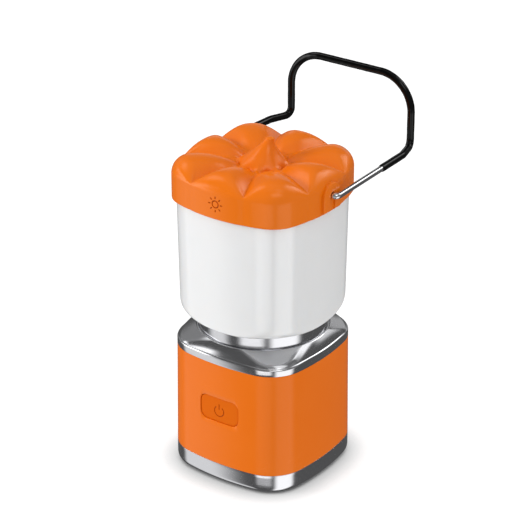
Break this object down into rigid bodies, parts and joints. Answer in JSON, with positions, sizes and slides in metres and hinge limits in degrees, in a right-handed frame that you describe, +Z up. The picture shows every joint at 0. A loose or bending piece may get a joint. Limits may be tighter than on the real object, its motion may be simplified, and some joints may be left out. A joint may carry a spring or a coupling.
{
  "type": "camping lantern",
  "caption": "Small square camping lantern with a milky diffuser, pumpkin-lobed cap, push button and swinging wire bail.",
  "frame": {"origin": "on the surface the lantern stands on, under the middle of its square base", "axes": "+Z up, -Y out of the button face, +X and -X out of the two bail pivots; the bail swings back towards +Y"},
  "size_m": [0.0584, 0.0767, 0.1247],
  "materials": {
    "orange_shell": "satin orange coat on aluminium",
    "orange_cap": "satin moulded plastic",
    "orange_key": "satin moulded plastic, a shade deeper",
    "polished_metal": "mirror polished and plated",
    "bail_steel": "bright drawn stainless wire",
    "bail_rubber": "glossy black heat-shrink tube",
    "diffuser_white": "milky translucent polycarbonate",
    "black_rubber": "matte silicone rubber",
    "orange_rubber": "matte silicone rubber",
    "white_plastic": "moulded white reflector plastic",
    "black_plastic": "glass-filled black plastic",
    "bare_aluminium": "machined",
    "white_mask": "aluminium board under white solder mask",
    "green_board": "glass-epoxy board, green mask",
    "black_chip": "moulded epoxy",
    "led_yellow": "phosphor under clear silicone",
    "cell_wrap": "shrink-wrapped steel can",
    "nickel": "nickel strip",
    "screw_steel": "zinc plated",
    "magnet_nickel": "nickel plated",
    "red_wire": "silicone insulation",
    "black_wire": "silicone insulation"
  },
  "bodies": {
    "housing": {"foot_pad": "black_rubber", "bottom_cap": "polished_metal", "lower_gasket": "black_rubber", "base_magnet": "magnet_nickel", "body_sleeve": "orange_shell", "top_cover": "polished_metal", "upper_gasket": "black_rubber", "neck_collar": "polished_metal", "neck_seal": "black_rubber", "heat_sink": "bare_aluminium", "neck_screws": "screw_steel", "led_board": "white_mask", "led_packages": "led_yellow", "led_board_screws": "screw_steel", "diffuser": "diffuser_white", "cap_cover": "orange_cap", "cap_plate": "white_plastic", "cap_screws": "screw_steel", "cone_reflector": "white_plastic", "reflector_screw": "screw_steel", "switch_housing": "nickel", "main_board": "green_board", "driver_components": "black_chip", "charge_board": "green_board", "usb_socket": "nickel", "port_cover_anchor": "orange_rubber", "battery_cell_left": "cell_wrap", "battery_cell_right": "cell_wrap", "cell_strip_bottom": "nickel", "cell_strip_top": "nickel", "inner_chassis": "black_plastic", "chassis_screws": "screw_steel", "board_screws": "screw_steel", "lead_red": "red_wire", "lead_black": "black_wire"},
    "bail": {"bail_wire": "bail_steel", "bail_sleeve": "bail_rubber"},
    "button": {"button_key": "orange_key", "button_membrane": "black_rubber", "switch_plunger": "black_plastic"},
    "port_cover": {"port_cover": "orange_rubber"}
  },
  "joints": [
    {"name": "bail_swing", "type": "hinge", "parent": "housing", "child": "bail", "pos_m": [0, 0, 0.1008], "axis": [1, 0, 0], "range_deg": [-90, 220]},
    {"name": "button_press", "type": "slide", "parent": "housing", "child": "button", "axis": [0, 1, 0], "range_m": [0, 0.0004], "stiffness_N_per_m": 4000},
    {"name": "port_cover_open", "type": "hinge", "parent": "housing", "child": "port_cover", "pos_m": [-0.00725, 0.0244, 0.022], "axis": [0, 0, 1], "range_deg": [0, 150]}
  ]
}
